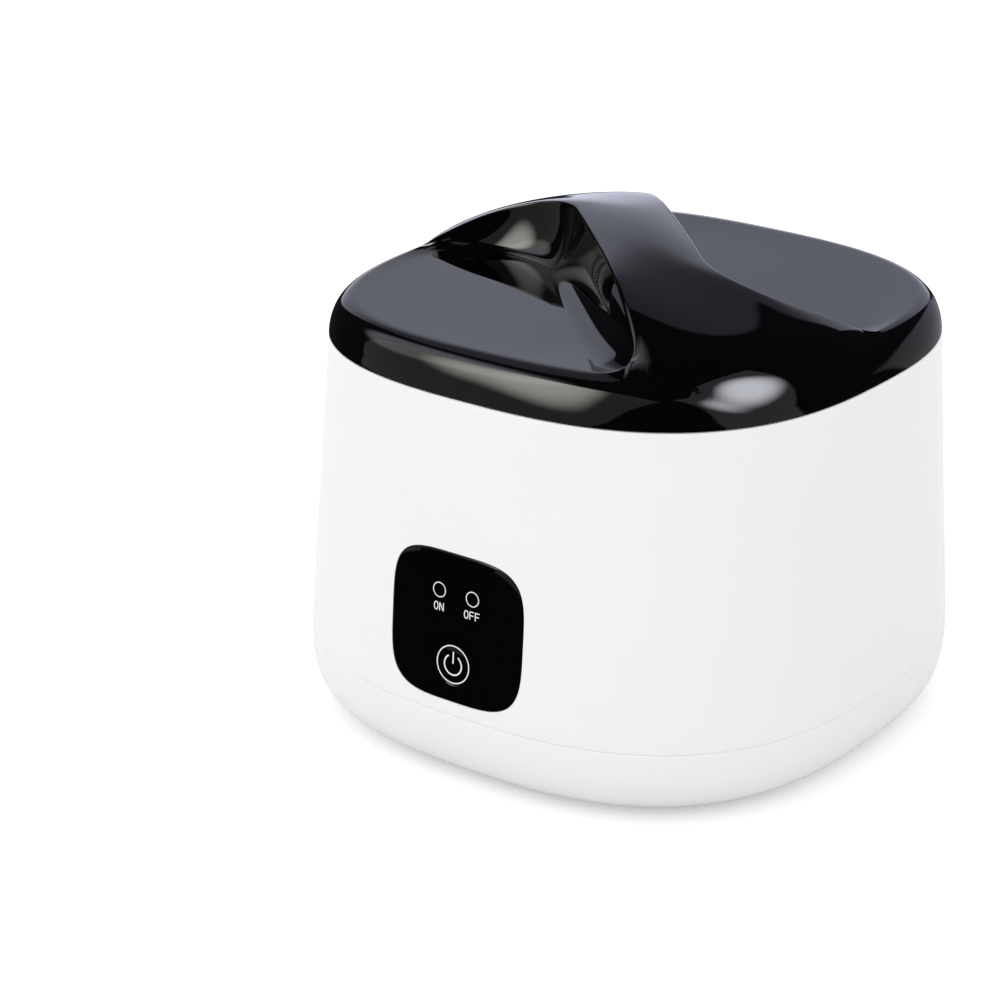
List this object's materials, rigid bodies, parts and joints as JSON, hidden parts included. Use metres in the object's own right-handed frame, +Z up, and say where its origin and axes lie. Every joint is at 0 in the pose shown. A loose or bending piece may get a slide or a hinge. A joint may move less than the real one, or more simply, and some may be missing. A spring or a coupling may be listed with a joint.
{
  "type": "gel polish remover machine",
  "caption": "Heated nail soaking bowl: rounded-square white housing with a black control panel and power button, lift-out bowl and a glossy black lid bridged by a diagonal grip.",
  "frame": {"origin": "on the table, in the middle of the footprint", "axes": "+Z up; -Y is the front, where the control panel is; +X is the right-hand side seen from the front"},
  "size_m": [0.1628, 0.1629, 0.135],
  "materials": {
    "white_shell": "smooth glossy white ABS moulding",
    "white_deck": "satin white ABS moulding",
    "foot_rubber": "matt black rubber",
    "screw_steel": "zinc-plated steel",
    "pan_aluminium": "spun aluminium",
    "bowl_steel": "polished stainless steel",
    "seal_silicone": "translucent grey silicone",
    "heater_ceramic": "ceramic heater disc",
    "heat_pad_silicone": "silicone fibre pad",
    "clamp_steel": "pressed steel",
    "sleeve_felt": "needled glass felt",
    "thermostat_plastic": "phenolic body",
    "fuse_metal": "tinned metal case",
    "sensor_brass": "brass probe",
    "panel_black": "gloss black acrylic",
    "tape_black": "foam adhesive",
    "light_pipe_clear": "clear acrylic",
    "led_resin": "clear LED resin",
    "switch_black": "black nylon",
    "plunger_plastic": "white nylon",
    "board_green": "solder mask on fibreglass",
    "connector_nylon": "natural nylon",
    "capacitor_sleeve": "shrink sleeve",
    "heat_sink_aluminium": "black anodised",
    "inlet_black": "black nylon socket",
    "lead_red": "PVC insulation",
    "lead_white": "silicone insulation",
    "cable_grey": "PVC sheath",
    "lid_black": "mirror-gloss black ABS",
    "liner_black": "satin black ABS"
  },
  "bodies": {
    "base": {"housing_shell": "white_shell", "base_tray": "white_shell", "top_deck": "white_deck", "rubber_feet": "foot_rubber", "base_screws": "screw_steel", "deck_screws": "screw_steel", "pan_screws": "screw_steel", "clamp_screws": "screw_steel", "panel_board_screws": "screw_steel", "control_board_screws": "screw_steel", "inlet_nut": "screw_steel", "heating_pan": "pan_aluminium", "pan_seal": "seal_silicone", "heater_plate": "heater_ceramic", "heat_pad": "heat_pad_silicone", "heater_clamp": "clamp_steel", "fuse_clip": "clamp_steel", "insulation_sleeve": "sleeve_felt", "thermostat": "thermostat_plastic", "thermal_fuse": "fuse_metal", "temperature_sensor": "sensor_brass", "panel_window": "panel_black", "window_tape": "tape_black", "light_pipes": "light_pipe_clear", "indicator_leds": "led_resin", "button_switch": "switch_black", "panel_board": "board_green", "control_board": "board_green", "board_connectors": "connector_nylon", "board_capacitor": "capacitor_sleeve", "board_heat_sink": "heat_sink_aluminium", "dc_inlet": "inlet_black", "inlet_leads": "lead_red", "heater_leads": "lead_white", "panel_cable": "cable_grey"},
    "button": {"power_button": "panel_black", "switch_plunger": "plunger_plastic"},
    "bowl": {"soak_bowl": "bowl_steel"},
    "lid": {"lid_shell": "lid_black", "lid_liner": "liner_black", "lid_gasket": "seal_silicone", "lid_screws": "screw_steel"}
  },
  "joints": [
    {"name": "button_press", "type": "slide", "parent": "base", "child": "button", "axis": [0, 0.9978, -0.0656], "range_m": [0, 0.0006], "stiffness_N_per_m": 2000, "springref_m": -0.0002},
    {"name": "bowl_lift", "type": "slide", "parent": "base", "child": "bowl", "axis": [0, 0, 1], "range_m": [0, 0.11]},
    {"name": "lid_lift", "type": "slide", "parent": "bowl", "child": "lid", "axis": [0, 0, 1], "range_m": [0, 0.11]}
  ]
}
